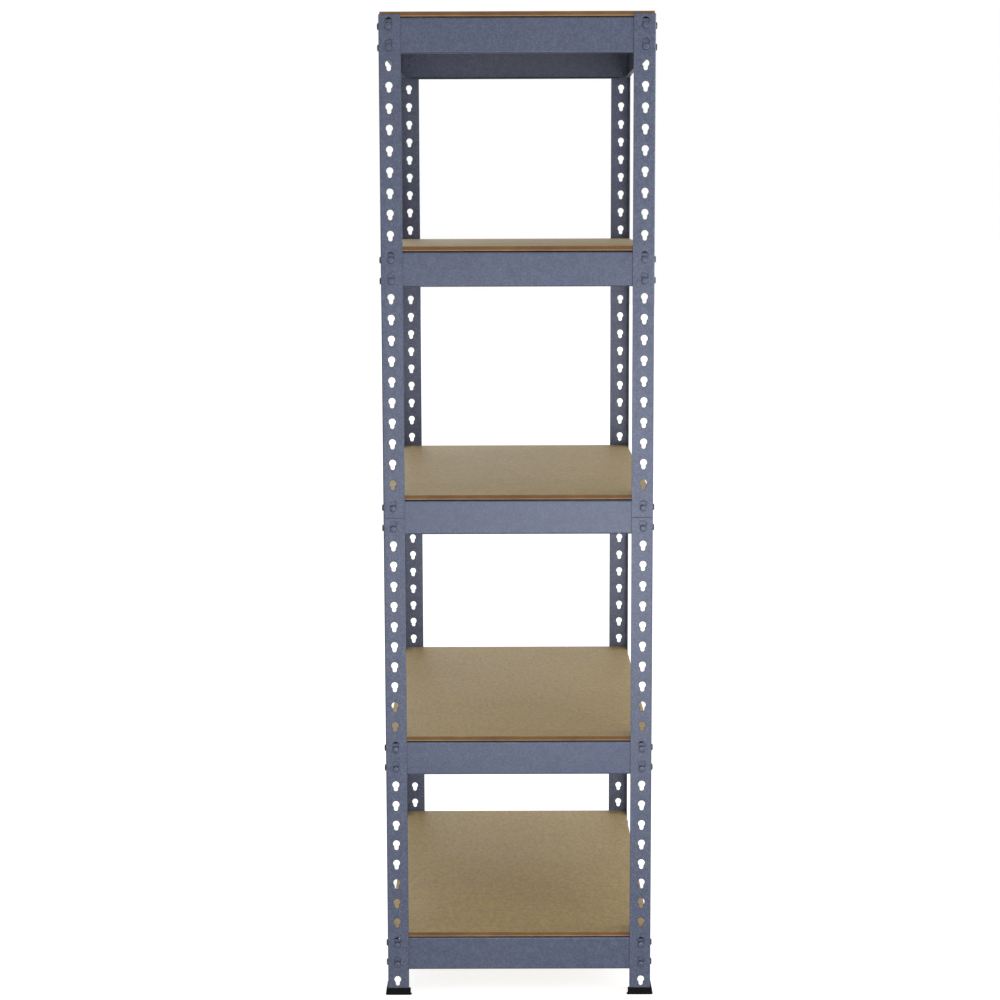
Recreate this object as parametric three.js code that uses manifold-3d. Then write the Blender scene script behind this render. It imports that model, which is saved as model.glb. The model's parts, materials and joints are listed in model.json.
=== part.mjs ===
/**
 * Boltless steel shelving: five boards on hooked beams between four slotted angle posts.
 *
 * Units are millimetres and +Z is up. The front faces -Y, the right side faces +X, and the origin
 * is on the floor in the middle of the footprint.
 *
 * A corner post is two half-length angles standing end to end. Both legs of each angle carry a row
 * of keyholes. A beam has two headed studs at each end: the heads go through the round holes, the
 * beam drops, and the studs hang in the narrow slots below. The beams of level 3 have one stud in
 * each half-post, so they also tie the two halves together. The boards lie loose on the beams.
 */
import * as THREE from "three";
import { mergeVertices } from "three/addons/utils/BufferGeometryUtils.js";
import Module from "manifold-3d";

const wasm = await Module();
wasm.setup();

// ---------------------------------------------------------------- driving dimensions

const WIDTH = 500; // over the posts, left to right
const DEPTH = 900; // over the posts, front to back
const CLEARANCE = 0.3; // between any two pieces that touch

const PITCH = 38.1; // one keyhole to the next, up the post
const ROWS_PER_HALF = 24;
const POST_LEG = 40; // width of each leg of the angle
const POST_STEEL = 1.5;
const POST_CORNER = 1.4; // bevel that stands for the outer bend
const LAST_ROW_HEIGHT = 26; // lower end of a half-post up to its lowest round hole
const HOLE_INSET = 18.25; // outer face of the post to the keyhole's centre line

const KEYHOLE_RADIUS = 6.8; // round part, to the corners of its polygon
const KEYHOLE_CORNERS = 6;
const SLOT_HALF_WIDTH = 3.9;
const SLOT_DROP = 8.7; // round centre down to where the stud hangs

const BEAM_HEIGHT = 64.5;
const BEAM_STEEL = 1.5;
const BEAM_LEDGE = 20; // top flange that carries the board
const LEDGE_RISE = 1.5; // the ledge springs back a little from square, so its inner edge is higher
const BEAM_LIP = 10; // bottom flange
const BEAM_CORNER = 2.5; // bevel that stands for the bend along the top
const BEAM_GAP = 0.8; // inner face of the post to the beam's web
const BEAM_END_INSET = 4; // outer face of the post to the end of the beam's web
const FLANGE_INSET = 24; // outer face of the post to the end of the flanges
const LOWER_STUD_HEIGHT = 10.5; // above the bottom of the beam

const STUD_HEAD_RADIUS = 6.1;
const STUD_HEAD_SIDES = 8;
const STUD_HEAD_THICKNESS = 3;
const STUD_SHANK_RADIUS = 3.5;
const STUD_SHANK_SIDES = 6;
const STUD_TAIL_RADIUS = 4.6; // swaged end behind the web
const STUD_TAIL_THICKNESS = 1.3;

const BOARD_THICKNESS = 9;
const BOARD_INSET = 2; // outer face of the post to the edge of the board

const FOOT_BASE = 3; // plastic under the end of the post
const FOOT_HEIGHT = 12.5;
const FOOT_WALL = 2.7;
const FOOT_FLANGE = 2; // rim round the bottom of the walls
const FOOT_FLANGE_THICKNESS = 1.5;

// Keyhole row that holds the lower stud of each level's beams, counted from the floor.
const LEVEL_ROWS = [1, 11, 23, 35, 46];

const POST_FOOT_Z = FOOT_BASE + CLEARANCE;
const HALF_POST = ROWS_PER_HALF * PITCH;
const CUT_OVERRUN = 2; // how far a cutter runs past the steel that it cuts

// ---------------------------------------------------------------- materials

function paintedSteel() {
  return new THREE.MeshStandardMaterial({ color: 0x656c80, roughness: 0.45, metalness: 0.3 });
}

function fibreboard() {
  return new THREE.MeshStandardMaterial({ color: 0x9b8a68, roughness: 0.85, metalness: 0 });
}

function blackPlastic() {
  return new THREE.MeshStandardMaterial({ color: 0x141416, roughness: 0.6, metalness: 0 });
}

// ---------------------------------------------------------------- solids

/** Turns a closed geometry into a solid that can be cut and joined. */
function toSolid(geometry) {
  const bare = geometry.clone();
  bare.deleteAttribute("normal");
  bare.deleteAttribute("uv");
  const merged = mergeVertices(bare);
  const mesh = new wasm.Mesh({
    numProp: 3,
    vertProperties: new Float32Array(merged.attributes.position.array),
    triVerts: new Uint32Array(merged.index.array),
  });
  return new wasm.Manifold(mesh);
}

/** Turns a solid back into a geometry with flat faces. */
function toGeometry(solid) {
  const { numProp, vertProperties, triVerts } = solid.getMesh();
  const positions = [];
  for (const vertex of triVerts) {
    const start = vertex * numProp;
    positions.push(...vertProperties.slice(start, start + 3));
  }
  const geometry = new THREE.BufferGeometry();
  geometry.setAttribute("position", new THREE.Float32BufferAttribute(positions, 3));
  geometry.computeVertexNormals();
  return geometry;
}

/** Extrudes an outline in the XY plane upwards, from zBottom to zTop. */
function prismUp(points, zBottom, zTop) {
  const shape = new THREE.Shape(points.map(([x, y]) => new THREE.Vector2(x, y)));
  const geometry = new THREE.ExtrudeGeometry(shape, { depth: zTop - zBottom, bevelEnabled: false });
  return geometry.translate(0, 0, zBottom);
}

/** Extrudes an outline in the XZ plane backwards along Y, from yFront to yBack. */
function prismBack(points, yFront, yBack) {
  return prismUp(points, -yBack, -yFront).rotateX(Math.PI / 2);
}

/** Extrudes an outline in the YZ plane along X, from xStart to xEnd. */
function prismAcross(points, xStart, xEnd) {
  const axes = [new THREE.Vector3(0, 1, 0), new THREE.Vector3(0, 0, 1), new THREE.Vector3(1, 0, 0)];
  return prismUp(points, xStart, xEnd).applyMatrix4(new THREE.Matrix4().makeBasis(...axes));
}

/** Box between two corners. */
function boxBetween(low, high) {
  const size = high.map((value, axis) => value - low[axis]);
  const middle = high.map((value, axis) => (value + low[axis]) / 2);
  return new THREE.BoxGeometry(...size).translate(...middle);
}

/** Regular polygon around a point, with a flat side down when the number of sides is even. */
function polygon(radius, sides, x, z) {
  const points = [];
  for (let side = 0; side < sides; side += 1) {
    const angle = (2 * Math.PI * (side + 0.5)) / sides;
    points.push([x + radius * Math.cos(angle), z + radius * Math.sin(angle)]);
  }
  return points;
}

/** L-shaped outline. Its outer faces lie at `outer`, its inner faces at `inner`, its ends at `end`. */
function angleOutline(outer, inner, end, bevel = 0) {
  const corner = bevel > 0 ? [[outer, outer + bevel], [outer + bevel, outer]] : [[outer, outer]];
  return [...corner, [end, outer], [end, inner], [inner, inner], [inner, end], [outer, end]];
}

// ---------------------------------------------------------------- post

/** Keyhole: a round hole centred on the given point, with a slot below it. */
function keyholeOutline(x, z) {
  const shoulder = Math.acos(SLOT_HALF_WIDTH / KEYHOLE_RADIUS);
  const sweep = Math.PI + 2 * shoulder;
  const slotCentre = z - SLOT_DROP;
  const slotEnd = slotCentre - SLOT_HALF_WIDTH;
  const points = [
    [x - SLOT_HALF_WIDTH, slotCentre],
    [x - SLOT_HALF_WIDTH / 2, slotEnd],
    [x + SLOT_HALF_WIDTH / 2, slotEnd],
    [x + SLOT_HALF_WIDTH, slotCentre],
  ];
  for (let corner = 0; corner < KEYHOLE_CORNERS; corner += 1) {
    const angle = (sweep * corner) / (KEYHOLE_CORNERS - 1) - shoulder;
    points.push([x + KEYHOLE_RADIUS * Math.cos(angle), z + KEYHOLE_RADIUS * Math.sin(angle)]);
  }
  return points;
}

/** One half-post, standing on z = 0, with its outer corner on the Z axis and its legs along +X and +Y. */
function halfPostGeometry() {
  const profile = angleOutline(0, POST_STEEL, POST_LEG, POST_CORNER);
  let post = toSolid(prismUp(profile, 0, HALF_POST - CLEARANCE));
  for (let row = 0; row < ROWS_PER_HALF; row += 1) {
    const keyhole = keyholeOutline(HOLE_INSET, LAST_ROW_HEIGHT + row * PITCH);
    const legAlongX = prismBack(keyhole, -CUT_OVERRUN, POST_STEEL + CUT_OVERRUN);
    const legAlongY = prismBack(keyhole, -POST_STEEL - CUT_OVERRUN, CUT_OVERRUN).rotateZ(Math.PI / 2);
    post = post.subtract(toSolid(legAlongX)).subtract(toSolid(legAlongY));
  }
  return toGeometry(post);
}

// ---------------------------------------------------------------- beam

/** Folded section of a beam in the YZ plane: web, ledge at the top, lip at the bottom. */
function beamProfile() {
  const webTop = BEAM_HEIGHT - LEDGE_RISE;
  const innerBevel = BEAM_CORNER / 2;
  return [
    [0, 0],
    [BEAM_LIP, 0],
    [BEAM_LIP, BEAM_STEEL],
    [BEAM_STEEL, BEAM_STEEL],
    [BEAM_STEEL, webTop - BEAM_STEEL - innerBevel],
    [BEAM_STEEL + innerBevel, webTop - BEAM_STEEL],
    [BEAM_LEDGE, BEAM_HEIGHT - BEAM_STEEL],
    [BEAM_LEDGE, BEAM_HEIGHT],
    [BEAM_CORNER, webTop],
    [0, webTop - BEAM_CORNER],
  ];
}

/** Headed stud riveted into the web: head outside the post, shank through its slot, tail inside. */
function studSolid(x, z) {
  const headBack = -BEAM_GAP - POST_STEEL - CLEARANCE;
  const headFront = headBack - STUD_HEAD_THICKNESS;
  const webMiddle = BEAM_STEEL / 2;
  const head = prismBack(polygon(STUD_HEAD_RADIUS, STUD_HEAD_SIDES, x, z), headFront, headBack);
  const shankOutline = polygon(STUD_SHANK_RADIUS, STUD_SHANK_SIDES, x, z);
  const shank = prismBack(shankOutline, (headFront + headBack) / 2, webMiddle);
  const tailOutline = polygon(STUD_TAIL_RADIUS, STUD_SHANK_SIDES, x, z);
  const tail = prismBack(tailOutline, webMiddle, BEAM_STEEL + STUD_TAIL_THICKNESS);
  return toSolid(head).add(toSolid(shank)).add(toSolid(tail));
}

/** Space taken out of the flanges at one end, so that they clear the beam round the corner. */
function flangeCutBack(side, halfSpan) {
  const inner = side * (halfSpan - FLANGE_INSET);
  const outer = side * halfSpan;
  const low = [Math.min(inner, outer), BEAM_STEEL, -CUT_OVERRUN];
  const high = [Math.max(inner, outer), BEAM_LEDGE + CUT_OVERRUN, BEAM_HEIGHT + CUT_OVERRUN];
  return toSolid(boxBetween(low, high));
}

/** Beam with its web's outer face on y = 0, its bottom on z = 0 and its middle on the Z axis. */
function beamGeometry(span) {
  const halfSpan = span / 2;
  const webEnd = halfSpan - BEAM_END_INSET;
  let beam = toSolid(prismAcross(beamProfile(), -webEnd, webEnd));
  for (const side of [-1, 1]) {
    beam = beam.subtract(flangeCutBack(side, halfSpan));
    for (const height of [LOWER_STUD_HEIGHT, LOWER_STUD_HEIGHT + PITCH]) {
      beam = beam.add(studSolid(side * (halfSpan - HOLE_INSET), height));
    }
  }
  return toGeometry(beam);
}

// ---------------------------------------------------------------- foot

/** L-shaped outline that lies a given distance outside the post's own section, on every side. */
function outlineAroundPost(margin) {
  return angleOutline(-margin, POST_STEEL + margin, POST_LEG + margin);
}

/** Push-on foot, on z = 0, for a post whose outer corner is on the Z axis. */
function footGeometry() {
  const wallMargin = CLEARANCE + FOOT_WALL;
  const flange = prismUp(outlineAroundPost(wallMargin + FOOT_FLANGE), 0, FOOT_FLANGE_THICKNESS);
  const walls = prismUp(outlineAroundPost(wallMargin), 0, FOOT_HEIGHT);
  const socket = prismUp(outlineAroundPost(CLEARANCE), FOOT_BASE, FOOT_HEIGHT + CUT_OVERRUN);
  return toGeometry(toSolid(flange).add(toSolid(walls)).subtract(toSolid(socket)));
}

// ---------------------------------------------------------------- board

/** Board with its underside on z = 0 and its middle on the Z axis. */
function boardGeometry() {
  const halfWidth = WIDTH / 2 - BOARD_INSET;
  const halfDepth = DEPTH / 2 - BOARD_INSET;
  return boxBetween([-halfWidth, -halfDepth, 0], [halfWidth, halfDepth, BOARD_THICKNESS]);
}

// ---------------------------------------------------------------- assembly

// Quarter turns about +Z carry the front left corner, or the front side, round to the others.
const CORNERS = [
  { name: "front_left", x: -WIDTH / 2, y: -DEPTH / 2 },
  { name: "front_right", x: WIDTH / 2, y: -DEPTH / 2 },
  { name: "back_right", x: WIDTH / 2, y: DEPTH / 2 },
  { name: "back_left", x: -WIDTH / 2, y: DEPTH / 2 },
];
const SIDES = [
  { name: "front", span: WIDTH, distance: DEPTH / 2 },
  { name: "right", span: DEPTH, distance: WIDTH / 2 },
  { name: "back", span: WIDTH, distance: DEPTH / 2 },
  { name: "left", span: DEPTH, distance: WIDTH / 2 },
];
const QUARTER_TURN = Math.PI / 2;

function addMesh(group, name, geometry, material, position) {
  const mesh = new THREE.Mesh(geometry, material);
  mesh.name = name;
  mesh.position.set(...position);
  group.add(mesh);
}

/** Four corners, each with a foot and two half-posts. */
function addPosts(shelving) {
  const foot = footGeometry();
  const halfPost = halfPostGeometry();
  CORNERS.forEach(({ name, x, y }, turn) => {
    const corner = new THREE.Group();
    corner.position.set(x, y, 0);
    corner.rotation.z = turn * QUARTER_TURN;
    addMesh(corner, `${name}_foot`, foot, blackPlastic(), [0, 0, 0]);
    addMesh(corner, `${name}_post_lower`, halfPost, paintedSteel(), [0, 0, POST_FOOT_Z]);
    addMesh(corner, `${name}_post_upper`, halfPost, paintedSteel(), [0, 0, POST_FOOT_Z + HALF_POST]);
    shelving.add(corner);
  });
}

/** Height of the bottom of the beams whose lower studs hang in the given keyhole row. */
function beamBottom(row) {
  const roundHole = POST_FOOT_Z + LAST_ROW_HEIGHT + row * PITCH;
  return roundHole - SLOT_DROP - LOWER_STUD_HEIGHT;
}

/** Four beams and a board for each level; level 1 is the lowest. */
function addLevels(shelving) {
  const beams = { [WIDTH]: beamGeometry(WIDTH), [DEPTH]: beamGeometry(DEPTH) };
  const board = boardGeometry();
  LEVEL_ROWS.forEach((row, index) => {
    const level = `level_${index + 1}`;
    const bottom = beamBottom(row);
    SIDES.forEach(({ name, span, distance }, turn) => {
      const side = new THREE.Group();
      side.rotation.z = turn * QUARTER_TURN;
      const webFace = distance - POST_STEEL - BEAM_GAP;
      addMesh(side, `${level}_${name}_beam`, beams[span], paintedSteel(), [0, -webFace, bottom]);
      shelving.add(side);
    });
    addMesh(shelving, `${level}_board`, board, fibreboard(), [0, 0, bottom + BEAM_HEIGHT + CLEARANCE]);
  });
}

const shelving = new THREE.Group();
addPosts(shelving);
addLevels(shelving);

export default shelving;
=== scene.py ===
"""Boltless steel shelving: the looks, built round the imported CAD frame.

Everything is in metres in the CAD frame: +Z up, the front faces -Y, the origin is on the floor in
the middle of the footprint. Each CAD node is replaced by a finer piece of the same size in the same
place, made the way the real piece is: folded steel with punched keyholes, sawn boards, moulded feet.
"""

import json
import math

import bmesh
import bpy
from mathutils import Matrix, Vector
from mathutils.geometry import delaunay_2d_cdt

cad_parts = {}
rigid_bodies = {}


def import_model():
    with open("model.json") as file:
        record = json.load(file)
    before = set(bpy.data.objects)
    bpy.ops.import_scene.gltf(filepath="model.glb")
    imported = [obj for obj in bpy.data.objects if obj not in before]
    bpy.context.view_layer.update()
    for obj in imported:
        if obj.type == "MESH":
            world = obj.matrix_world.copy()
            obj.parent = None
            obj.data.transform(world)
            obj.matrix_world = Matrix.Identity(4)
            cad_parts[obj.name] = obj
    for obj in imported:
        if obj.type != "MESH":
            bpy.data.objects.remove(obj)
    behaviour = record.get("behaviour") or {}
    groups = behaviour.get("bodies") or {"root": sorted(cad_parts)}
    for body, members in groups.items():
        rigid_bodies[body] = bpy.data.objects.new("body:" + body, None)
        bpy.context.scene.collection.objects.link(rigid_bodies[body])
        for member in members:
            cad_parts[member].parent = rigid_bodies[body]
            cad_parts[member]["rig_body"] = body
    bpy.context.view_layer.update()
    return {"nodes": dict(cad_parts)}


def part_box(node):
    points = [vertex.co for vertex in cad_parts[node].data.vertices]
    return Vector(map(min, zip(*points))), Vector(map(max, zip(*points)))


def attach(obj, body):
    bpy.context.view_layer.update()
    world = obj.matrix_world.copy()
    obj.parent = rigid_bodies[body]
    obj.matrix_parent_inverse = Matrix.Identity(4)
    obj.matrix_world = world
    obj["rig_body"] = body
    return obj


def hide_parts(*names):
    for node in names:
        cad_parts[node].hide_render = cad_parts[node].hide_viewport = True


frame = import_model()
MM = 0.001

# ---------------------------------------------------------------- driving dimensions, as in the CAD

PITCH = 38.1 * MM
ROWS_PER_HALF = 24
LAST_ROW_HEIGHT = 26 * MM
HOLE_INSET = 18.25 * MM
POST_LEG = 40 * MM
STEEL = 1.5 * MM
CLEARANCE = 0.3 * MM

SLOT_RADIUS = 3.9 * MM
SLOT_DROP = 8.7 * MM

BEAM_LEDGE = 20 * MM
LEDGE_RISE = 1.5 * MM
BEAM_LIP = 10 * MM
BEAM_GAP = 0.8 * MM
BEAM_END_INSET = 4 * MM
FLANGE_INSET = 24 * MM
LOWER_STUD_HEIGHT = 10.5 * MM

STUD_HEAD_RADIUS = 6.1 * MM
STUD_HEAD_THICKNESS = 3 * MM
STUD_SHANK_RADIUS = 3.5 * MM
STUD_TAIL_RADIUS = 4.6 * MM
STUD_TAIL_THICKNESS = 1.3 * MM

FOOT_BASE = 3 * MM
FOOT_WALL = 2.7 * MM
FOOT_FLANGE = 2 * MM
FOOT_FLANGE_THICKNESS = 1.5 * MM

# Finer than the CAD. Its keyholes are many-sided, with their corners a little further out than this.
HOLE_RADIUS = 6.5 * MM
BEND_RADIUS = 2.5 * MM
BEAM_BEND_RADIUS = 3 * MM
STEEL_CHAMFER = 0.25 * MM
# Wider than a punched hole's real rollover, so the darkened edge paint on it shows as a painted shade
# ring round each hole
HOLE_ROLLOVER = 0.6 * MM
CORNER_RADIUS = 1.5 * MM
PIN_HOLE_RADIUS = 1.8 * MM
STUD_FIT = 0.1 * MM
BOARD_ROUNDING = 0.6 * MM
FOOT_ROUNDING = 0.7 * MM
FOOT_CORNER_RADIUS = 2.24 * MM
SOCKET_CORNER_RADIUS = 0.42 * MM

# Flat pieces in each round stretch
CORNER_STEPS = 4
BEND_STEPS = 6
HOLE_STEPS = 22
SLOT_STEPS = 10
STUD_STEPS = 24
PIN_HOLE_STEPS = 16
BOARD_EDGE_STEPS = 3
SHARP_ANGLE = math.radians(35)

# Triangulation of caps: what it returns, and how near two points are merged
INSIDE_OUTLINE = 1
MERGE_DISTANCE = 1e-9

# Corners and sides in the order that quarter turns carry one into the next
CORNERS = ["front_left", "front_right", "back_right", "back_left"]
SIDES = ["front", "right", "back", "left"]
LEVELS = [1, 2, 3, 4, 5]
QUARTER_TURN = math.pi / 2

# Material numbers within a mesh: its main faces, its cut edges and, on a beam, its studs
# On steel the edge number takes paint darkened as a painted shade, and on a beam it also covers each
# stud head's rim
FACE, EDGE, STUD = range(3)


# ---------------------------------------------------------------- outlines in a plane

def arc(x, y, radius, start, end, steps):
    """Points along an arc, both ends included; angles in radians."""
    points = []
    for step in range(steps + 1):
        angle = start + (end - start) * step / steps
        points.append((x + radius * math.cos(angle), y + radius * math.sin(angle)))
    return points


def circle(x, y, radius, steps):
    return arc(x, y, radius, 0, 2 * math.pi, steps)[:-1]


def keyhole(x, y):
    """Round hole centred on (x, y) with a round-ended slot below it."""
    shoulder = math.acos(SLOT_RADIUS / HOLE_RADIUS)
    hole = arc(x, y, HOLE_RADIUS, -shoulder, math.pi + shoulder, HOLE_STEPS)
    slot_end = arc(x, y - SLOT_DROP, SLOT_RADIUS, math.pi, 2 * math.pi, SLOT_STEPS)
    return hole + slot_end


def rounded(points, radius, corners=None):
    """Rounds the right-angled corners of an outline, or only the listed ones."""
    result = []
    count = len(points)
    for index, point in enumerate(points):
        if corners is not None and index not in corners:
            result.append(point)
            continue
        here = Vector(point)
        back = (Vector(points[index - 1]) - here).normalized()
        ahead = (Vector(points[(index + 1) % count]) - here).normalized()
        centre = here + radius * (back + ahead)
        for step in range(CORNER_STEPS + 1):
            angle = QUARTER_TURN * step / CORNER_STEPS
            spoke = ahead * math.cos(angle) + back * math.sin(angle)
            result.append(tuple(centre - radius * spoke))
    return result


def inset_loop(points, distance):
    """Moves a counter-clockwise outline inwards by a distance, or outwards by a negative one."""
    result = []
    count = len(points)
    for index, point in enumerate(points):
        here = Vector(point)
        incoming = (here - Vector(points[index - 1])).normalized()
        outgoing = (Vector(points[(index + 1) % count]) - here).normalized()
        left_in = Vector((-incoming.y, incoming.x))
        left_out = Vector((-outgoing.y, outgoing.x))
        shift = (left_in + left_out) / (1 + left_in.dot(left_out))
        result.append(tuple(here + shift * distance))
    return result


def contains(loop, x, y):
    """Whether the point (x, y) is inside an outline."""
    inside = False
    for index, (x1, y1) in enumerate(loop):
        x0, y0 = loop[index - 1]
        if (y0 > y) != (y1 > y) and x < x0 + (y - y0) * (x1 - x0) / (y1 - y0):
            inside = not inside
    return inside


def nearest(points, target):
    """Index of the point nearest to a target."""
    return min(range(len(points)), key=lambda index: math.dist(points[index], target))


def angle_outline(outer, inner, end):
    """L-shaped outline: outer faces at outer, inner faces at inner, free ends at end."""
    return [(outer, outer), (end, outer), (end, inner), (inner, inner), (inner, end), (outer, end)]


# ---------------------------------------------------------------- closed bodies

class Body:
    """Collects rings of points and the faces between them, and makes one mesh of closed bodies."""

    def __init__(self):
        self.points = []
        self.faces = []
        self.paints = []

    def ring(self, points):
        first = len(self.points)
        self.points.extend(points)
        return list(range(first, len(self.points)))

    def level_rings(self, loops, heights):
        """One flat ring for each outline, at its own height."""
        return [self.ring([(x, y, height) for x, y in loop]) for loop, height in zip(loops, heights)]

    def face(self, corners, paint):
        self.faces.append(corners)
        self.paints.append(paint)

    def band(self, one, other, paint=FACE):
        """Quads between two rings with the same number of points."""
        count = len(one)
        for index in range(count):
            following = (index + 1) % count
            self.face((one[index], one[following], other[following], other[index]), paint)

    def cap(self, rings, outlines, creases=()):
        """Fills the first outline, less the others. The rings hold the same points in space.

        A crease is a pair of indices in the first outline that an edge has to join."""
        indices = [index for ring in rings for index in ring]
        plane = [Vector(point) for outline in outlines for point in outline]
        owner = [number for number, outline in enumerate(outlines) for _ in outline]
        edges = list(creases)
        start = 0
        for outline in outlines:
            count = len(outline)
            edges += [(start + step, start + (step + 1) % count) for step in range(count)]
            start += count
        _, _, faces, origins, _, _ = delaunay_2d_cdt(plane, edges, [], INSIDE_OUTLINE, MERGE_DISTANCE)
        for face in faces:
            corners = [origins[corner][0] for corner in face]
            owners = {owner[corner] for corner in corners}
            if len(owners) == 1:
                outline = outlines[owners.pop()]
                x, y = sum((plane[corner] for corner in corners), Vector((0, 0))) / len(corners)
                if contains(outline, x, y) != (outline is outlines[0]):
                    continue
            self.face([indices[corner] for corner in corners], FACE)

    def lathe(self, profile, place, paints):
        """Turns a profile of (radius, height) points; place maps (x, y, height) into space.

        Both ends of the profile are on the axis, and paints has one entry for each of its lines."""
        rings = []
        for radius, height in profile:
            outline = circle(0, 0, radius, STUD_STEPS) if radius else [(0, 0)]
            rings.append(self.ring([place(x, y, height) for x, y in outline]))
        for paint, one, other in zip(paints, rings, rings[1:]):
            if len(one) == len(other):
                self.band(one, other, paint)
                continue
            tip, loop = (one[0], other) if len(one) == 1 else (other[0], one)
            for index in range(STUD_STEPS):
                self.face((tip, loop[index], loop[(index + 1) % STUD_STEPS]), paint)

    def mesh(self, name, materials):
        """The mesh, with its faces pointing out and edges over the sharp angle kept crisp."""
        mesh = bpy.data.meshes.new(name)
        mesh.from_pydata([tuple(point) for point in self.points], [], self.faces)
        mesh.polygons.foreach_set("material_index", self.paints)
        for material in materials:
            mesh.materials.append(material)
        work = bmesh.new()
        work.from_mesh(mesh)
        bmesh.ops.recalc_face_normals(work, faces=work.faces)
        work.to_mesh(mesh)
        work.free()
        mesh.polygons.foreach_set("use_smooth", [True] * len(mesh.polygons))
        mesh.set_sharp_from_angle(angle=SHARP_ANGLE)
        return mesh


def add_piece(node, mesh, turn, location):
    """Puts a mesh where its CAD node is, lets it ride on that node's body and hides the node.

    The mesh is turned about the vertical by a number of quarter turns."""
    piece = bpy.data.objects.new(f"{node}_finish", mesh)
    bpy.context.scene.collection.objects.link(piece)
    piece.matrix_world = Matrix.Translation(location) @ Matrix.Rotation(turn * QUARTER_TURN, 4, "Z")
    shading = piece.modifiers.new("even_shading", "WEIGHTED_NORMAL")
    shading.keep_sharp = True
    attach(piece, frame["nodes"][node]["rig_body"])
    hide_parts(node)


# ---------------------------------------------------------------- node trees

def add_node(tree, kind, settings=None, **inputs):
    """Adds a node. An input is a value or another node's output; its name has _ for a space."""
    node = tree.nodes.new(kind)
    for name, value in (settings or {}).items():
        setattr(node, name, value)
    for name, value in inputs.items():
        connect(tree, node.inputs[name.replace("_", " ")], value)
    return node


def connect(tree, socket, value):
    if isinstance(value, bpy.types.NodeSocket):
        tree.links.new(value, socket)
    else:
        socket.default_value = value


def shifted_coordinates(tree):
    """Coordinates on the piece, in metres, shifted by a different amount for each piece."""
    own = add_node(tree, "ShaderNodeTexCoord").outputs["Object"]
    number = add_node(tree, "ShaderNodeObjectInfo").outputs["Random"]
    spread = add_node(tree, "ShaderNodeVectorMath", {"operation": "SCALE"}, Scale=number)
    spread.inputs[0].default_value = (3.1, 5.3, 7.7)
    total = add_node(tree, "ShaderNodeVectorMath", {"operation": "ADD"})
    connect(tree, total.inputs[0], own)
    connect(tree, total.inputs[1], spread.outputs[0])
    return total.outputs[0]


def stretched(tree, vector, factors):
    node = add_node(tree, "ShaderNodeVectorMath", {"operation": "MULTIPLY"})
    connect(tree, node.inputs[0], vector)
    connect(tree, node.inputs[1], factors)
    return node.outputs[0]


def noise(tree, vector, size, detail=2.0, roughness=0.5):
    """Noise from 0 to 1 whose blobs are about the given size, in metres."""
    node = add_node(tree, "ShaderNodeTexNoise", Vector=vector, Scale=1 / size, Detail=detail,
                    Roughness=roughness)
    return node.outputs["Fac"]


def cells(tree, vector, size):
    """Distance from the middle of cells of the given size, from 0 to about 1."""
    node = add_node(tree, "ShaderNodeTexVoronoi", {"feature": "SMOOTH_F1"}, Vector=vector,
                    Scale=1 / size, Smoothness=0.6)
    return node.outputs["Distance"]


def span(tree, value, low, high, to_low=0.0, to_high=1.0):
    """Maps low..high to to_low..to_high, held at its ends."""
    node = add_node(tree, "ShaderNodeMapRange", {"clamp": True}, Value=value, From_Min=low,
                    From_Max=high, To_Min=to_low, To_Max=to_high)
    return node.outputs["Result"]


def colours(tree, factor, *stops):
    """Colour ramp with stops of (position, colour)."""
    node = add_node(tree, "ShaderNodeValToRGB", Fac=factor)
    ramp = node.color_ramp
    while len(ramp.elements) < len(stops):
        ramp.elements.new(1.0)
    for element, (position, colour) in zip(ramp.elements, stops):
        element.position = position
        element.color = (*colour, 1)
    return node.outputs["Color"]


def mix(tree, factor, one, other, how="MIX"):
    """Mixes two colours, each a value or another node's output."""
    node = add_node(tree, "ShaderNodeMix", {"data_type": "RGBA", "blend_type": how})
    connect(tree, node.inputs[0], factor)
    for socket, value in ((node.inputs[6], one), (node.inputs[7], other)):
        connect(tree, socket, value if isinstance(value, bpy.types.NodeSocket) else (*value, 1))
    return node.outputs[2]


def multiplied(tree, colour, *others):
    for other in others:
        colour = mix(tree, 1.0, colour, other, "MULTIPLY")
    return colour


def tint(tree, value, dark, light, spread=0.2):
    """Colour to multiply by: from dark to light as a noise passes its middle value of 0.5."""
    return colours(tree, value, (0.5 - spread, dark), (0.5 + spread, light))


def bump(tree, height, depth, normal=None):
    """Bump whose height of 1 stands for the given depth in metres."""
    node = add_node(tree, "ShaderNodeBump", Height=height, Distance=depth, Strength=1.0)
    if normal is not None:
        connect(tree, node.inputs["Normal"], normal)
    return node.outputs["Normal"]


def new_material(name):
    material = bpy.data.materials.new(name)
    material.use_nodes = True
    tree = material.node_tree
    shader = next(node for node in tree.nodes if node.type == "BSDF_PRINCIPLED")
    return material, tree, shader


# ---------------------------------------------------------------- materials

# Dark, middle and light grains of each colour
PAINT_COLOURS = ((0.055, 0.068, 0.112), (0.100, 0.119, 0.188), (0.172, 0.194, 0.280))
# Edge paint is the same blue-grey paint much darkened: a painted shade on the chamfers, hole rollovers
# and stud-head rims
EDGE_SHADE_COLOURS = ((0.020, 0.024, 0.038), (0.034, 0.040, 0.062), (0.056, 0.064, 0.094))
BOARD_COLOURS = ((0.34, 0.242, 0.102), (0.43, 0.320, 0.142), (0.51, 0.397, 0.195))
BARE_STEEL = (0.42, 0.42, 0.44)


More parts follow.
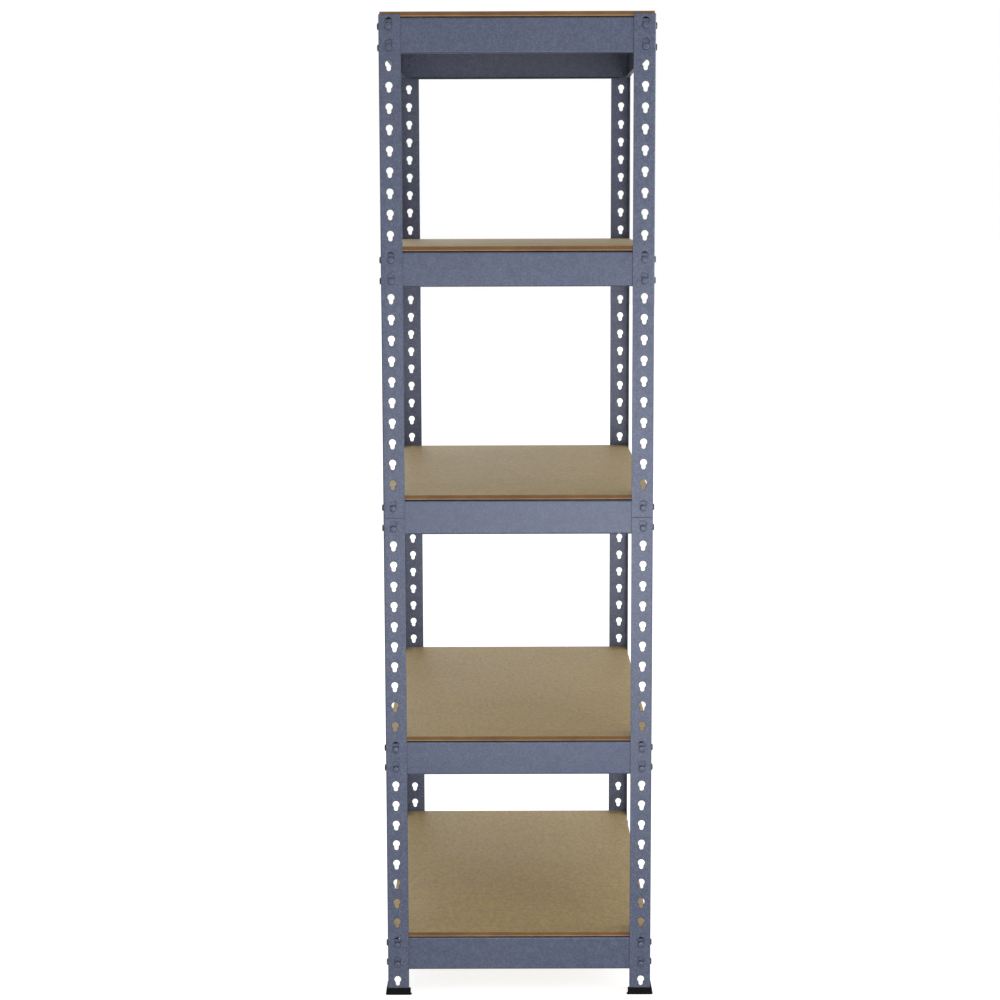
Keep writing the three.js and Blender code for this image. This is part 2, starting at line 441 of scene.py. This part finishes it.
def hammertone(name, speckle, depth, paint=PAINT_COLOURS, chipped=False):
    """Blue-grey hammertone powder coat.

    Speckle is how strongly its grain shows, and depth how deep its ripple is."""
    material, tree, shader = new_material(name)
    place = shifted_coordinates(tree)
    grain = noise(tree, place, 1.6 * MM, detail=3, roughness=0.6)
    fleck = noise(tree, place, 4.2 * MM)
    mottle = noise(tree, place, 14 * MM, detail=3)
    broad = noise(tree, place, 220 * MM)
    reach = 0.3 / speckle
    dark, middle, light = paint
    base = colours(tree, span(tree, grain, 0.5 - reach, 0.5 + reach), (0.0, dark), (0.5, middle),
                   (1.0, light))
    spots = tint(tree, fleck, (0.84, 0.84, 0.86), (1.14, 1.14, 1.12), spread=0.18)
    patches = tint(tree, mottle, (0.90, 0.90, 0.92), (1.06, 1.06, 1.05))
    cast = tint(tree, broad, (0.95, 0.96, 1.0), (1.03, 1.02, 1.0))
    colour = multiplied(tree, base, spots, patches, cast)
    if chipped:
        chips = span(tree, noise(tree, place, 6 * MM, detail=4), 0.66, 0.70)
        colour = mix(tree, chips, colour, BARE_STEEL)
    connect(tree, shader.inputs["Base Color"], colour)
    connect(tree, shader.inputs["Roughness"], span(tree, grain, 0.3, 0.7, 0.34, 0.52))
    shader.inputs["Metallic"].default_value = 0.3
    shader.inputs["Coat Weight"].default_value = 0.2
    shader.inputs["Coat Roughness"].default_value = 0.25
    ripple = bump(tree, cells(tree, place, 2.2 * MM), depth)
    connect(tree, shader.inputs["Normal"], bump(tree, grain, depth * 0.5, ripple))
    return material


def board_face():
    """Smooth sanded face of a fibreboard."""
    material, tree, shader = new_material("fibreboard_face")
    place = shifted_coordinates(tree)
    fibres = noise(tree, stretched(tree, place, (1.0, 0.35, 1.0)), 1.4 * MM, detail=4, roughness=0.7)
    clumps = noise(tree, stretched(tree, place, (1.0, 0.5, 1.0)), 6.5 * MM, detail=5, roughness=0.7)
    cloud = noise(tree, place, 35 * MM, detail=4, roughness=0.6)
    broad = noise(tree, place, 350 * MM)
    dark, middle, light = BOARD_COLOURS
    base = colours(tree, fibres, (0.25, dark), (0.5, middle), (0.75, light))
    spots = tint(tree, clumps, (0.76, 0.74, 0.70), (1.16, 1.16, 1.18))
    patches = tint(tree, cloud, (0.93, 0.92, 0.90), (1.05, 1.05, 1.06))
    cast = tint(tree, broad, (0.95, 0.94, 0.92), (1.04, 1.04, 1.05))
    connect(tree, shader.inputs["Base Color"], multiplied(tree, base, spots, patches, cast))
    connect(tree, shader.inputs["Roughness"], span(tree, cloud, 0.3, 0.7, 0.46, 0.60))
    connect(tree, shader.inputs["Normal"], bump(tree, fibres, 0.08 * MM))
    return material


def board_edge(thickness):
    """Sawn edge of a fibreboard: darker, with fibres lying along it and a paler core line low down."""
    material, tree, shader = new_material("fibreboard_edge")
    place = shifted_coordinates(tree)
    own = add_node(tree, "ShaderNodeTexCoord").outputs["Object"]
    height = add_node(tree, "ShaderNodeSeparateXYZ", Vector=own).outputs["Z"]
    streaks = noise(tree, stretched(tree, place, (1.0, 1.0, 14.0)), 12 * MM, detail=5, roughness=0.65)
    wobble = span(tree, streaks, 0.2, 0.8, -0.06, 0.06)
    share = add_node(tree, "ShaderNodeMath", {"operation": "DIVIDE"})
    connect(tree, share.inputs[0], height)
    connect(tree, share.inputs[1], thickness)
    level = add_node(tree, "ShaderNodeMath", {"operation": "ADD"})
    connect(tree, level.inputs[0], share.outputs[0])
    connect(tree, level.inputs[1], wobble)
    layers = colours(tree, level.outputs[0],
                     (0.04, (0.24, 0.15, 0.07)),
                     (0.16, (0.42, 0.29, 0.15)),
                     (0.30, (0.22, 0.105, 0.036)),
                     (0.62, (0.21, 0.100, 0.034)),
                     (0.88, (0.21, 0.118, 0.048)),
                     (1.0, (0.30, 0.21, 0.11)))
    scorch = noise(tree, place, 50 * MM, detail=3)
    burn = tint(tree, scorch, (0.80, 0.78, 0.76), (1.12, 1.12, 1.12))
    grain = tint(tree, streaks, (0.82, 0.80, 0.78), (1.14, 1.14, 1.14))
    connect(tree, shader.inputs["Base Color"], multiplied(tree, layers, burn, grain))
    shader.inputs["Roughness"].default_value = 0.85
    connect(tree, shader.inputs["Normal"], bump(tree, streaks, 0.4 * MM))
    return material


def foot_plastic():
    """Black moulded plastic with a fine spark-eroded texture and a little dust."""
    material, tree, shader = new_material("black_plastic")
    place = shifted_coordinates(tree)
    texture = noise(tree, place, 0.7 * MM)
    dust = noise(tree, place, 9 * MM, detail=4)
    colour = colours(tree, dust, (0.35, (0.0015, 0.0015, 0.0018)), (0.75, (0.005, 0.005, 0.0055)))
    connect(tree, shader.inputs["Base Color"], colour)
    connect(tree, shader.inputs["Roughness"], span(tree, dust, 0.3, 0.7, 0.42, 0.6))
    shader.inputs["Specular IOR Level"].default_value = 0.12
    connect(tree, shader.inputs["Normal"], bump(tree, texture, 0.06 * MM))
    return material


# ---------------------------------------------------------------- folded steel

class Section:
    """Section of a folded strip: flats joined by bends that all turn towards the inside.

    The corners are where the outer faces of the flats would meet if the bends were sharp. A place on
    the section is a distance along the outer skin and a depth below that skin."""

    def __init__(self, corners, radius):
        points = [Vector(corner) for corner in corners]
        runs = [after - before for before, after in zip(points, points[1:])]
        self.start = points[0]
        self.heading = runs[0].normalized()
        self.radius = radius
        self.turns = [abs(one.angle_signed(other)) for one, other in zip(runs, runs[1:])]
        cuts = [0, *[radius * math.tan(turn / 2) for turn in self.turns], 0]
        self.flats = [run.length - before - after for run, before, after in zip(runs, cuts, cuts[1:])]
        self.inward = Vector((self.heading.y, -self.heading.x))
        if self.inward.dot(runs[1]) < 0:
            self.inward = -self.inward
        self.length = sum(self.flats) + radius * sum(self.turns)

    def creases(self):
        """For each bend, how far along the skin its creases lie."""
        result = []
        along = 0
        for flat, turn in zip(self.flats, self.turns):
            along += flat
            arc_length = self.radius * turn
            steps = range(BEND_STEPS + 1)
            result.append([along + arc_length * step / BEND_STEPS for step in steps])
            along += arc_length
        return result

    def place(self, along, depth):
        """The point at a distance along the skin and a depth below it."""
        position, heading, inward = self.start, self.heading, self.inward
        for flat, turn in zip(self.flats, self.turns):
            if along <= flat:
                break
            along -= flat
            centre = position + heading * flat + inward * self.radius
            angle = min(along / self.radius, turn)
            outward = heading * math.sin(angle) - inward * math.cos(angle)
            if angle < turn:
                return centre + outward * (self.radius - depth)
            along -= self.radius * turn
            position = centre + outward * self.radius
            heading = heading * math.cos(turn) + inward * math.sin(turn)
            inward = -outward
        return position + heading * along + inward * depth


def folded_body(section, to_space, outline, holes, creases):
    """Closed body of folded sheet, with chamfered edges round it and in its holes.

    The outline, holes and creases lie on the flat sheet, and to_space places (section point, distance
    along the fold) in space. Each layer is how much of the chamfer is taken off at a depth."""
    body = Body()
    layers = [(1, 0), (0, STEEL_CHAMFER), (0, STEEL - STEEL_CHAMFER), (1, STEEL)]
    flat_loops = []
    rings = []
    for share, depth in layers:
        loops = [inset_loop(outline, share * STEEL_CHAMFER)]
        loops += [inset_loop(hole, -share * HOLE_ROLLOVER) for hole in holes]
        flat_loops.append(loops)
        placed = [[to_space(section.place(s, depth), v) for s, v in loop] for loop in loops]
        rings.append([body.ring(points) for points in placed])
    # The chamfers round the outline and the rollovers round the holes take the edge material, whose
    # darkened paint on steel is a painted shade
    for number, paint in enumerate((EDGE, FACE, EDGE)):
        for one, other in zip(rings[number], rings[number + 1]):
            body.band(one, other, paint)
    pairs = [(nearest(outline, start), nearest(outline, end)) for start, end in creases]
    body.cap(rings[0], flat_loops[0], pairs)
    body.cap(rings[-1], flat_loops[-1], pairs)
    return body


# ---------------------------------------------------------------- posts

def half_post_mesh(length, materials):
    """Half-post standing on z = 0: outer corner on the Z axis, legs along +X and +Y."""
    section = Section([(0, POST_LEG), (0, 0), (POST_LEG, 0)], BEND_RADIUS)
    bend = section.creases()[0]
    sheet = [(0, 0), *[(s, 0) for s in bend], (section.length, 0),
             (section.length, length), *[(s, length) for s in reversed(bend)], (0, length)]
    free_corners = (0, len(bend) + 1, len(bend) + 2, 2 * len(bend) + 3)
    outline = rounded(sheet, CORNER_RADIUS, corners=free_corners)
    holes = []
    for row in range(ROWS_PER_HALF):
        height = LAST_ROW_HEIGHT + row * PITCH
        for across in (POST_LEG - HOLE_INSET, section.length - POST_LEG + HOLE_INSET):
            holes.append(keyhole(across, height))
    creases = [((s, 0), (s, length)) for s in bend]
    body = folded_body(section, lambda point, v: (point.x, point.y, v), outline, holes, creases)
    return body.mesh("half_post", materials)


def add_posts(materials):
    mesh = None
    for turn, corner in enumerate(CORNERS):
        for half in ("lower", "upper"):
            node = f"{corner}_post_{half}"
            low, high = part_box(node)
            if mesh is None:
                mesh = half_post_mesh(high.z - low.z, materials)
            x = low.x if "left" in corner else high.x
            y = low.y if "front" in corner else high.y
            add_piece(node, mesh, turn, (x, y, low.z))


# ---------------------------------------------------------------- beams

def add_stud(body, x, height):
    """Stud through the beam's web: low head outside the post, riveted crown behind the web."""
    head_back = -BEAM_GAP - STEEL - CLEARANCE
    head_front = head_back - STUD_HEAD_THICKNESS
    r = STUD_HEAD_RADIUS
    shank = STUD_SHANK_RADIUS
    tail = STUD_TAIL_RADIUS
    tail_end = STEEL + STUD_TAIL_THICKNESS
    head = [(0, head_front), (0.55 * r, head_front + 0.05 * MM), (0.82 * r, head_front + 0.25 * MM),
            (0.94 * r, head_front + 0.6 * MM), (r, head_front + 1.2 * MM), (r, head_back - 0.35 * MM),
            (0.95 * r, head_back)]
    crown = [(shank, head_back), (shank, STEEL - 0.1 * MM), (0.9 * tail, STEEL + 0.05 * MM),
             (tail, STEEL + 0.4 * MM), (0.92 * tail, tail_end - 0.3 * MM), (0.7 * tail, tail_end),
             (0.4 * tail, tail_end - 0.45 * MM), (0, tail_end - 0.6 * MM)]
    # The head's outer rim, its side, the shank and most of the crown take the darkened edge paint: a
    # painted shade ring round the head
    paints = [STUD] * 3 + [EDGE] * 8 + [STUD] * 3
    body.lathe(head + crown, lambda a, b, along: (x + a, along, height + b), paints)


def beam_mesh(length, height, materials):
    """Beam with its web's outer face on y = 0, its bottom on z = 0 and its middle on the Z axis."""
    web_top = height - LEDGE_RISE
    section = Section([(BEAM_LIP, 0), (0, 0), (0, web_top), (BEAM_LEDGE, height)], BEAM_BEND_RADIUS)
    lower_bend, upper_bend = section.creases()
    web_end = length / 2
    flange_end = web_end + BEAM_END_INSET - FLANGE_INSET
    lower_edge = [(0, -flange_end), *[(s, -flange_end) for s in lower_bend], (lower_bend[-1], -web_end),
                  (upper_bend[0], -web_end), *[(s, -flange_end) for s in upper_bend],
                  (section.length, -flange_end)]
    sheet = lower_edge + [(s, -v) for s, v in reversed(lower_edge)]
    half = len(lower_edge)
    web_corners = (len(lower_bend) + 1, len(lower_bend) + 2)
    free_corners = [0, *web_corners, half - 1]
    free_corners += [2 * half - 1 - corner for corner in free_corners]
    outline = rounded(sheet, CORNER_RADIUS, corners=free_corners)
    stud_along = web_end + BEAM_END_INSET - HOLE_INSET
    web_foot = lower_bend[-1] - BEAM_BEND_RADIUS
    stud_heights = (LOWER_STUD_HEIGHT, LOWER_STUD_HEIGHT + PITCH)
    pin_height = LOWER_STUD_HEIGHT + PITCH / 2
    holes = []
    for side in (-1, 1):
        along = side * stud_along
        holes.append(circle(web_foot + pin_height, along, PIN_HOLE_RADIUS, PIN_HOLE_STEPS))
        for height_up in stud_heights:
            holes.append(circle(web_foot + height_up, along, STUD_SHANK_RADIUS + STUD_FIT, STUD_STEPS))
    creases = [((s, -flange_end), (s, flange_end)) for s in lower_bend + upper_bend]
    body = folded_body(section, lambda point, v: (v, point.x, point.y), outline, holes, creases)
    for side in (-1, 1):
        for height_up in stud_heights:
            add_stud(body, side * stud_along, height_up)
    return body.mesh("beam", materials)


def add_beams(materials):
    """Two meshes serve all the beams, one for each length. A beam's ledge reaches to the inner side of
    its box, so the outer face of its web is the ledge's width from there."""
    meshes = {}
    for level in LEVELS:
        for turn, side in enumerate(SIDES):
            node = f"level_{level}_{side}_beam"
            low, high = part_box(node)
            middle = (low + high) / 2
            length = max(high.x - low.x, high.y - low.y)
            key = round(length, 4)
            if key not in meshes:
                meshes[key] = beam_mesh(length, high.z - low.z, materials)
            location = {
                "front": (middle.x, high.y - BEAM_LEDGE, low.z),
                "right": (low.x + BEAM_LEDGE, middle.y, low.z),
                "back": (middle.x, low.y + BEAM_LEDGE, low.z),
                "left": (high.x - BEAM_LEDGE, middle.y, low.z),
            }[side]
            add_piece(node, meshes[key], turn, location)


# ---------------------------------------------------------------- boards

def board_mesh(size, materials):
    """Sawn board with its underside on z = 0, edges slightly rounded by handling."""
    body = Body()
    half_x, half_y = size.x / 2, size.y / 2
    corners = [(-half_x, -half_y), (half_x, -half_y), (half_x, half_y), (-half_x, half_y)]
    outline = rounded(corners, CORNER_RADIUS)
    layers = []
    for step in range(BOARD_EDGE_STEPS + 1):
        angle = QUARTER_TURN * step / BOARD_EDGE_STEPS
        layers.append((BOARD_ROUNDING * (1 - math.sin(angle)), BOARD_ROUNDING * (1 - math.cos(angle))))
    layers += [(inset, size.z - height) for inset, height in reversed(layers)]
    loops = [inset_loop(outline, inset) for inset, _ in layers]
    rings = body.level_rings(loops, [height for _, height in layers])
    for one, other in zip(rings, rings[1:]):
        body.band(one, other, EDGE)
    body.cap([rings[0]], [loops[0]])
    body.cap([rings[-1]], [loops[-1]])
    return body.mesh("board", materials)


def add_boards():
    mesh = None
    for level in LEVELS:
        node = f"level_{level}_board"
        low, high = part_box(node)
        if mesh is None:
            mesh = board_mesh(high - low, [board_face(), board_edge(high.z - low.z)])
        middle = (low + high) / 2
        add_piece(node, mesh, 0, (middle.x, middle.y, low.z))


# ---------------------------------------------------------------- feet

def outline_around_post(margin):
    """L-shaped outline that lies a given distance outside the post's own section."""
    return angle_outline(-margin, STEEL + margin, POST_LEG + margin)


def foot_mesh(height, material):
    """Push-on foot on z = 0 for a post whose outer corner is on the Z axis."""
    body = Body()
    r = FOOT_ROUNDING
    outer = rounded(outline_around_post(CLEARANCE + FOOT_WALL), FOOT_CORNER_RADIUS)
    socket = rounded(outline_around_post(CLEARANCE), SOCKET_CORNER_RADIUS)
    third = FOOT_FLANGE_THICKNESS / 3
    flange_layers = [(-FOOT_FLANGE + 0.4 * r, 0), (-FOOT_FLANGE, 0.4 * r), (-FOOT_FLANGE, 2 * third),
                     (-0.8 * FOOT_FLANGE, 2.7 * third), (-0.35 * FOOT_FLANGE, 3.4 * third),
                     (-0.1 * FOOT_FLANGE, 5 * third), (0, 7 * third)]
    wall_layers = [(0, height - r), (0.3 * r, height - 0.3 * r), (r, height)]
    outer_layers = flange_layers + wall_layers
    socket_layers = [(-0.5 * r, height), (0, height - 0.5 * r), (0, FOOT_BASE)]
    outer_loops = [inset_loop(outer, inset) for inset, _ in outer_layers]
    socket_loops = [inset_loop(socket, inset) for inset, _ in socket_layers]
    outer_rings = body.level_rings(outer_loops, [height_up for _, height_up in outer_layers])
    socket_rings = body.level_rings(socket_loops, [height_up for _, height_up in socket_layers])
    for rings in (outer_rings, socket_rings):
        for one, other in zip(rings, rings[1:]):
            body.band(one, other)
    body.cap([outer_rings[0]], [outer_loops[0]])
    body.cap([outer_rings[-1], socket_rings[0]], [outer_loops[-1], socket_loops[0]])
    body.cap([socket_rings[-1]], [socket_loops[-1]])
    return body.mesh("foot", [material])


def add_feet(material):
    mesh = None
    overhang = CLEARANCE + FOOT_WALL + FOOT_FLANGE
    for turn, corner in enumerate(CORNERS):
        node = f"{corner}_foot"
        low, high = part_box(node)
        if mesh is None:
            mesh = foot_mesh(high.z - low.z, material)
        x = low.x + overhang if "left" in corner else high.x - overhang
        y = low.y + overhang if "front" in corner else high.y - overhang
        add_piece(node, mesh, turn, (x, y, low.z))


# ---------------------------------------------------------------- studio

FLOOR_REACH = 30.0
FLOOR_GREY = 0.6
FLOOR_GLOW = 0.8
LIGHT_FROM_ABOVE = 0.72
LIGHT_FROM_BELOW = 0.50

# Lens and sensor in mm, the shift as a share of the frame
CAMERA_LENS = 83.89
CAMERA_SENSOR = 36.0
CAMERA_SHIFT_UP = 0.0413
CAMERA_PLACE = (-0.0232, -4.7311, 1.4942)
CAMERA_DOWN = math.radians(8.248)
CAMERA_LEFT = math.radians(0.143)
CAMERA_ROLL = math.radians(0.190)


def add_floor():
    """Plain pale floor that glows, to pass into the white background, but lights nothing else."""
    mesh = bpy.data.meshes.new("floor")
    corners = [(-1, -1), (1, -1), (1, 1), (-1, 1)]
    mesh.from_pydata([(x * FLOOR_REACH, y * FLOOR_REACH, 0) for x, y in corners], [], [(0, 1, 2, 3)])
    material, _, shader = new_material("studio_floor")
    shader.inputs["Base Color"].default_value = (FLOOR_GREY, FLOOR_GREY, FLOOR_GREY, 1)
    shader.inputs["Roughness"].default_value = 0.9
    shader.inputs["Specular IOR Level"].default_value = 0.0
    shader.inputs["Emission Color"].default_value = (1, 1, 1, 1)
    shader.inputs["Emission Strength"].default_value = FLOOR_GLOW
    mesh.materials.append(material)
    floor = bpy.data.objects.new("floor", mesh)
    floor.visible_diffuse = False
    floor.visible_glossy = False
    bpy.context.scene.collection.objects.link(floor)


def add_world():
    """White surroundings: full white to the camera, dimmer as a light, most so from below."""
    world = bpy.data.worlds.new("studio")
    world.use_nodes = True
    tree = world.node_tree
    background = next(node for node in tree.nodes if node.type == "BACKGROUND")
    background.inputs["Color"].default_value = (1, 1, 1, 1)
    direction = add_node(tree, "ShaderNodeTexCoord").outputs["Generated"]
    height = add_node(tree, "ShaderNodeSeparateXYZ", Vector=direction).outputs["Z"]
    light = span(tree, height, -0.35, 0.15, LIGHT_FROM_BELOW, LIGHT_FROM_ABOVE)
    seen = add_node(tree, "ShaderNodeLightPath").outputs["Is Camera Ray"]
    connect(tree, background.inputs["Strength"], span(tree, seen, 0.0, 1.0, light, 1.0))
    bpy.context.scene.world = world


def add_softbox(name, location, target, width, height, power):
    """Rectangular area light turned to face its target."""
    light = bpy.data.lights.new(name, "AREA")
    light.shape = "RECTANGLE"
    light.size = width
    light.size_y = height
    light.energy = power
    softbox = bpy.data.objects.new(name, light)
    aim = (Vector(target) - Vector(location)).to_track_quat("-Z", "Y")
    softbox.matrix_world = Matrix.Translation(location) @ aim.to_matrix().to_4x4()
    bpy.context.scene.collection.objects.link(softbox)


def add_camera():
    """Camera at about eye height in front of the narrow side, looking slightly down."""
    camera = bpy.data.cameras.new("camera")
    camera.sensor_width = CAMERA_SENSOR
    camera.lens = CAMERA_LENS
    camera.shift_y = CAMERA_SHIFT_UP
    camera.clip_end = 100.0
    viewer = bpy.data.objects.new("camera", camera)
    aim = Matrix.Rotation(CAMERA_LEFT, 4, "Z") @ Matrix.Rotation(QUARTER_TURN - CAMERA_DOWN, 4, "X")
    viewer.matrix_world = Matrix.Translation(CAMERA_PLACE) @ aim @ Matrix.Rotation(-CAMERA_ROLL, 4, "Z")
    bpy.context.scene.collection.objects.link(viewer)
    bpy.context.scene.camera = viewer


def add_studio():
    add_camera()
    add_floor()
    add_world()
    add_softbox("front", (0.5, -4.0, 0.35), (0, 0, 0.4), width=1.8, height=1.2, power=36)
    add_softbox("front_right", (1.3, -1.9, 1.6), (0, 0, 1.5), width=0.8, height=1.2, power=5)
    add_softbox("right", (2.3, -0.4, 1.4), (0, 0, 1.2), width=1.0, height=1.8, power=25)
    add_softbox("back", (-1.2, 4.5, 3.2), (0, 0, 0.9), width=2.0, height=1.6, power=18)
    settings = bpy.context.scene.view_settings
    settings.view_transform = "Standard"
    settings.look = "None"


# ---------------------------------------------------------------- everything

def main():
    # Edge material: paint darkened as a painted shade on edges, hole rims and stud-head rims, with
    # chips of bare steel as real wear
    edge = hammertone("edge_painted_shade_and_chips", 1.0, 0.03 * MM, EDGE_SHADE_COLOURS, chipped=True)
    stud = hammertone("painted_stud", 0.8, 0.04 * MM)
    post = hammertone("painted_post", 1.3, 0.12 * MM)
    beam = hammertone("painted_beam", 0.7, 0.06 * MM)
    add_posts([post, edge])
    add_beams([beam, edge, stud])
    add_boards()
    add_feet(foot_plastic())
    add_studio()


main()
